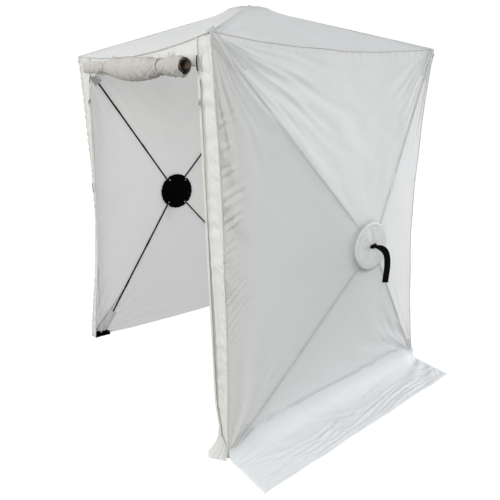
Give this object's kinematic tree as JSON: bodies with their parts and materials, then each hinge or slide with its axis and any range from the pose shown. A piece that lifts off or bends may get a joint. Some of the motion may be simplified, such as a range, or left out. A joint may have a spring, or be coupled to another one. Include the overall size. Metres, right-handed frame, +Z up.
{
  "type": "privacy shower tent",
  "caption": "Free-standing privacy shower tent of white cloth: hub walls pushed out by rods, a hub roof, an open doorway with the door rolled up, and a ground skirt along one side.",
  "frame": {"origin": "on the ground, under the middle of the whole tent's bounding box", "axes": "+Z up, the doorway faces -Y, the wall with the skirt is at +X"},
  "size_m": [2.2482, 1.9604, 2.2667],
  "materials": {
    "white_cloth": "coated white polyester, matt with a faint sheen, fine plain weave, creased near the corners",
    "skirt_cloth": "thinner white polyester lying on the ground in long wrinkles",
    "black_plastic": "moulded black nylon, semi-gloss, light scuffs",
    "rod": "black fibreglass rod, satin",
    "webbing": "black polypropylene webbing, ribbed weave",
    "zip_tape": "woven zip tape with a raised coil",
    "steel": "plated steel, satin"
  },
  "bodies": {
    "tent_shell": {"jamb_left": "white_cloth", "zip_tape_left": "zip_tape", "jamb_right": "white_cloth", "zip_tape_right": "zip_tape", "door_header": "white_cloth", "door_roll": "white_cloth", "door_tie_left": "webbing", "door_tie_right": "webbing", "wall_right": "white_cloth", "wall_left": "white_cloth", "wall_back": "white_cloth", "roof_cloth": "white_cloth", "foot_front_left": "black_plastic", "foot_back_left": "black_plastic", "corner_pocket_front_left": "white_cloth", "corner_pocket_back_left": "white_cloth", "foot_front_right": "black_plastic", "foot_back_right": "black_plastic", "corner_pocket_front_right": "white_cloth", "corner_pocket_back_right": "white_cloth", "skirt_right": "skirt_cloth", "jamb_flap": "skirt_cloth"},
    "hub_right": {"hub_body_right": "black_plastic", "hub_ring_right": "steel", "hub_cover_right": "black_plastic", "hub_patch_right": "white_cloth", "pull_strap_right": "webbing"},
    "rod_right_low_left": {"rod_right_low_left": "rod"},
    "rod_right_low_right": {"rod_right_low_right": "rod"},
    "rod_right_high_right": {"rod_right_high_right": "rod"},
    "rod_right_high_left": {"rod_right_high_left": "rod"},
    "hub_left": {"hub_body_left": "black_plastic", "hub_ring_left": "steel", "hub_cover_left": "black_plastic", "hub_patch_left": "white_cloth", "pull_strap_left": "webbing"},
    "rod_left_low_left": {"rod_left_low_left": "rod"},
    "rod_left_low_right": {"rod_left_low_right": "rod"},
    "rod_left_high_right": {"rod_left_high_right": "rod"},
    "rod_left_high_left": {"rod_left_high_left": "rod"},
    "hub_back": {"hub_body_back": "black_plastic", "hub_ring_back": "steel", "hub_cover_back": "black_plastic", "hub_patch_back": "white_cloth", "pull_strap_back": "webbing"},
    "rod_back_low_left": {"rod_back_low_left": "rod"},
    "rod_back_low_right": {"rod_back_low_right": "rod"},
    "rod_back_high_right": {"rod_back_high_right": "rod"},
    "rod_back_high_left": {"rod_back_high_left": "rod"},
    "hub_roof": {"hub_body_roof": "black_plastic", "hub_ring_roof": "steel", "hub_cover_roof": "black_plastic", "hub_patch_roof": "white_cloth", "pull_strap_roof": "webbing"},
    "rod_roof_low_left": {"rod_roof_low_left": "rod"},
    "rod_roof_low_right": {"rod_roof_low_right": "rod"},
    "rod_roof_high_right": {"rod_roof_high_right": "rod"},
    "rod_roof_high_left": {"rod_roof_high_left": "rod"},
    "zip_slider_left": {"zip_slider_left": "steel"},
    "zip_slider_right": {"zip_slider_right": "steel"}
  },
  "joints": [
    {"name": "hub_right_pop", "type": "slide", "parent": "tent_shell", "child": "hub_right", "axis": [-0.9994, -0.018, -0.0305], "range_m": [0, 0.44]},
    {"name": "rod_right_low_left_turn", "type": "hinge", "parent": "hub_right", "child": "rod_right_low_left", "pos_m": [0.98027, -0.15807, 0.93254], "axis": [-0.0051, -0.7787, 0.6273], "range_deg": [0, 21.03]},
    {"name": "rod_right_low_right_turn", "type": "hinge", "parent": "hub_right", "child": "rod_right_low_right", "pos_m": [0.97813, -0.03886, 0.93252], "axis": [0.0332, -0.7782, -0.6272], "range_deg": [0, 20.97]},
    {"name": "rod_right_high_right_turn", "type": "hinge", "parent": "hub_right", "child": "rod_right_high_right", "pos_m": [0.97361, -0.04033, 1.0815], "axis": [0.0044, 0.7905, -0.6125], "range_deg": [0, 21.39]},
    {"name": "rod_right_high_left_turn", "type": "hinge", "parent": "hub_right", "child": "rod_right_high_left", "pos_m": [0.9757, -0.15666, 1.08157], "axis": [-0.0329, 0.7905, 0.6116], "range_deg": [0, 21.29]},
    {"name": "hub_left_pop", "type": "slide", "parent": "tent_shell", "child": "hub_left", "axis": [0.9994, -0.018, -0.0305], "range_m": [0, 0.44]},
    {"name": "rod_left_low_left_turn", "type": "hinge", "parent": "hub_left", "child": "rod_left_low_left", "pos_m": [-1.04397, -0.03886, 0.93252], "axis": [0.0332, 0.7782, 0.6272], "range_deg": [0, 20.97]},
    {"name": "rod_left_low_right_turn", "type": "hinge", "parent": "hub_left", "child": "rod_left_low_right", "pos_m": [-1.04612, -0.15807, 0.93254], "axis": [-0.0051, 0.7787, -0.6273], "range_deg": [0, 21.03]},
    {"name": "rod_left_high_right_turn", "type": "hinge", "parent": "hub_left", "child": "rod_left_high_right", "pos_m": [-1.04155, -0.15666, 1.08157], "axis": [-0.0329, -0.7905, -0.6116], "range_deg": [0, 21.29]},
    {"name": "rod_left_high_left_turn", "type": "hinge", "parent": "hub_left", "child": "rod_left_high_left", "pos_m": [-1.03945, -0.04033, 1.0815], "axis": [0.0044, -0.7905, 0.6125], "range_deg": [0, 21.39]},
    {"name": "hub_back_pop", "type": "slide", "parent": "tent_shell", "child": "hub_back", "axis": [0, -0.9999, -0.0155], "range_m": [0, 0.44]},
    {"name": "rod_back_low_left_turn", "type": "hinge", "parent": "hub_back", "child": "rod_back_low_left", "pos_m": [0.02642, 0.90131, 0.92911], "axis": [0.7809, -0.0097, 0.6246], "range_deg": [0, 21.07]},
    {"name": "rod_back_low_right_turn", "type": "hinge", "parent": "hub_back", "child": "rod_back_low_right", "pos_m": [-0.09226, 0.90131, 0.92911], "axis": [0.7809, 0.0097, -0.6246], "range_deg": [0, 21.07]},
    {"name": "rod_back_high_right_turn", "type": "hinge", "parent": "hub_back", "child": "rod_back_high_right", "pos_m": [-0.09076, 0.89899, 1.07864], "axis": [-0.7933, 0.0094, -0.6087], "range_deg": [0, 21.43]},
    {"name": "rod_back_high_left_turn", "type": "hinge", "parent": "hub_back", "child": "rod_back_high_left", "pos_m": [0.02491, 0.89899, 1.07864], "axis": [-0.7933, -0.0094, 0.6087], "range_deg": [0, 21.43]},
    {"name": "hub_roof_pop", "type": "slide", "parent": "tent_shell", "child": "hub_roof", "axis": [0, 0, -1], "range_m": [0, 0.466]},
    {"name": "rod_roof_low_left_turn", "type": "hinge", "parent": "hub_roof", "child": "rod_roof_low_left", "pos_m": [-0.09977, -0.16982, 2.225], "axis": [-0.7105, 0.7037, 0], "range_deg": [0, 26.39]},
    {"name": "rod_roof_low_right_turn", "type": "hinge", "parent": "hub_roof", "child": "rod_roof_low_right", "pos_m": [0.03393, -0.16982, 2.225], "axis": [-0.7105, -0.7037, 0], "range_deg": [0, 26.39]},
    {"name": "rod_roof_high_right_turn", "type": "hinge", "parent": "hub_roof", "child": "rod_roof_high_right", "pos_m": [0.03393, -0.03481, 2.225], "axis": [0.7105, -0.7037, 0], "range_deg": [0, 26.39]},
    {"name": "rod_roof_high_left_turn", "type": "hinge", "parent": "hub_roof", "child": "rod_roof_high_left", "pos_m": [-0.09977, -0.03481, 2.225], "axis": [0.7105, 0.7037, 0], "range_deg": [0, 26.39]},
    {"name": "zip_left_slide", "type": "slide", "parent": "tent_shell", "child": "zip_slider_left", "axis": [-0.1066, -0.0154, -0.9942], "range_m": [0, 1.66]},
    {"name": "zip_right_slide", "type": "slide", "parent": "tent_shell", "child": "zip_slider_right", "axis": [0.0547, -0.0155, -0.9984], "range_m": [0, 1.66]}
  ],
  "couplings": [
    {"joint": "rod_right_low_left_turn", "follows": "hub_right_pop", "rad_per_m": 0.83227},
    {"joint": "rod_right_low_right_turn", "follows": "hub_right_pop", "rad_per_m": 0.82967},
    {"joint": "rod_right_high_right_turn", "follows": "hub_right_pop", "rad_per_m": 0.84638},
    {"joint": "rod_right_high_left_turn", "follows": "hub_right_pop", "rad_per_m": 0.84268},
    {"joint": "rod_left_low_left_turn", "follows": "hub_left_pop", "rad_per_m": 0.82967},
    {"joint": "rod_left_low_right_turn", "follows": "hub_left_pop", "rad_per_m": 0.83227},
    {"joint": "rod_left_high_right_turn", "follows": "hub_left_pop", "rad_per_m": 0.84268},
    {"joint": "rod_left_high_left_turn", "follows": "hub_left_pop", "rad_per_m": 0.84638},
    {"joint": "rod_back_low_left_turn", "follows": "hub_back_pop", "rad_per_m": 0.83389},
    {"joint": "rod_back_low_right_turn", "follows": "hub_back_pop", "rad_per_m": 0.83389},
    {"joint": "rod_back_high_right_turn", "follows": "hub_back_pop", "rad_per_m": 0.8479},
    {"joint": "rod_back_high_left_turn", "follows": "hub_back_pop", "rad_per_m": 0.8479},
    {"joint": "rod_roof_low_left_turn", "follows": "hub_roof_pop", "rad_per_m": 0.98654},
    {"joint": "rod_roof_low_right_turn", "follows": "hub_roof_pop", "rad_per_m": 0.98654},
    {"joint": "rod_roof_high_right_turn", "follows": "hub_roof_pop", "rad_per_m": 0.98654},
    {"joint": "rod_roof_high_left_turn", "follows": "hub_roof_pop", "rad_per_m": 0.98654}
  ]
}
